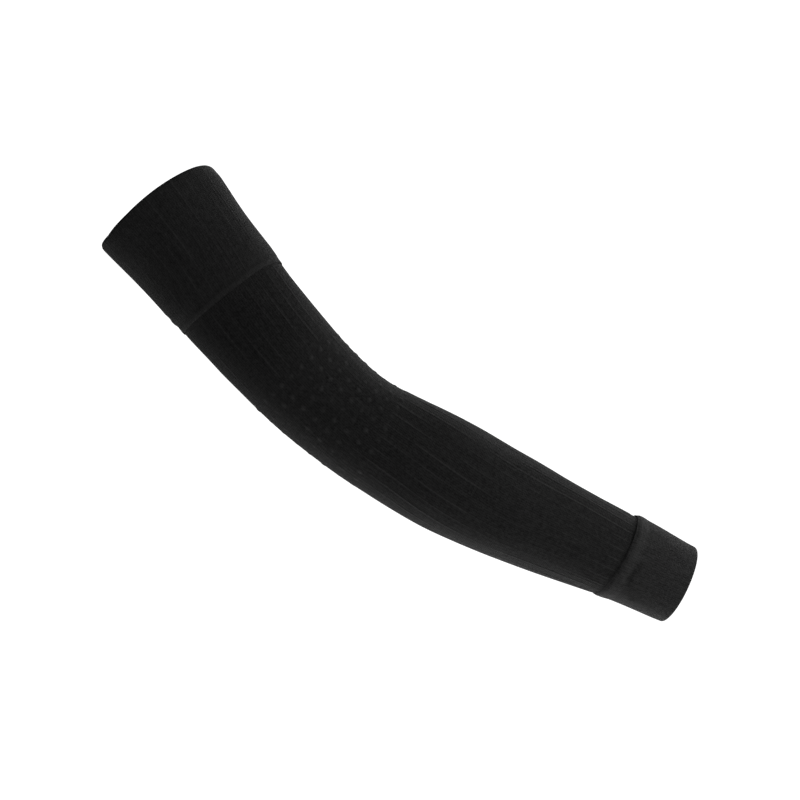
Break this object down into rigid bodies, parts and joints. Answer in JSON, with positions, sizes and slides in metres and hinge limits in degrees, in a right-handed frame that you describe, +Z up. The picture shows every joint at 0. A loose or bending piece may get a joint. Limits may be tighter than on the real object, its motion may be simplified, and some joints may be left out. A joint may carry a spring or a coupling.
{
  "type": "arm sleeve",
  "caption": "Knitted tubular arm sleeve in its worn form, bent slightly at the elbow, with a doubled upper-arm band and a turned wrist cuff, worn to support and warm the arm.",
  "frame": {"origin": "middle of the upper opening, where the upper arm goes in", "axes": "+Z up out of the upper opening along the upper arm, +X to the front of the arm, towards which the elbow bends, +Y to the arm's side"},
  "size_m": [0.1756, 0.0874, 0.42],
  "materials": {
    "band_knit": "matte black polyamide and elastane rib knit, doubled",
    "ribbed_knit": "matte black polyamide and elastane rib knit with raised tuck stitches at the elbow",
    "cuff_knit": "smooth black plain knit, doubled and turned"
  },
  "bodies": {
    "root": {"upper_band": "band_knit", "sleeve_body": "ribbed_knit", "wrist_cuff": "cuff_knit"}
  },
  "joints": []
}
